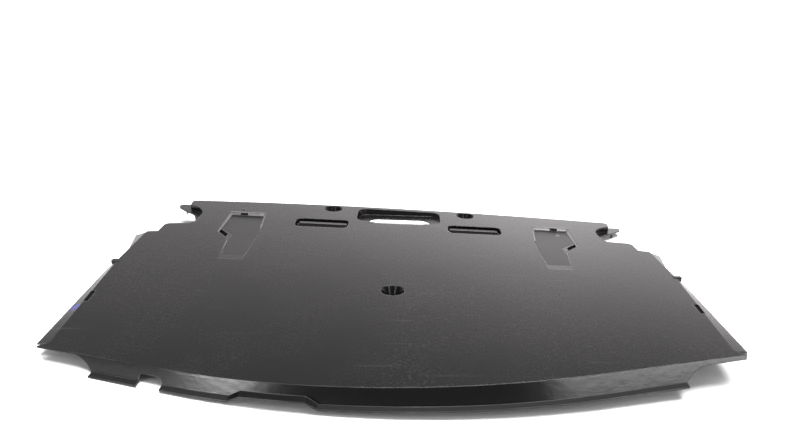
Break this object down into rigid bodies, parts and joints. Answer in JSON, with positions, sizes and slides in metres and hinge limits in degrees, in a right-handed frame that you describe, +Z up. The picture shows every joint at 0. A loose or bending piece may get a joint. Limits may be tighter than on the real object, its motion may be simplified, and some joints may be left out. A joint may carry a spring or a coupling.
{
  "type": "engine splash shield",
  "caption": "One-piece moulded plastic undertray for an engine bay, with a flanged front lip, screw cups, stepped pockets, ramped pads and stepped rear ears.",
  "frame": {"origin": "bottom centre of the box that the shield fills as it lies, smooth road side up", "axes": "+X across the car, to the right when seen from the front lip; +Y from the front lip to the rear edge; +Z up, out of the road side"},
  "size_m": [1.282, 0.9202, 0.0584],
  "materials": {
    "black_plastic": "fine satin grain, dusty and lightly scratched"
  },
  "bodies": {
    "root": {"splash_shield": "black_plastic"}
  },
  "joints": []
}
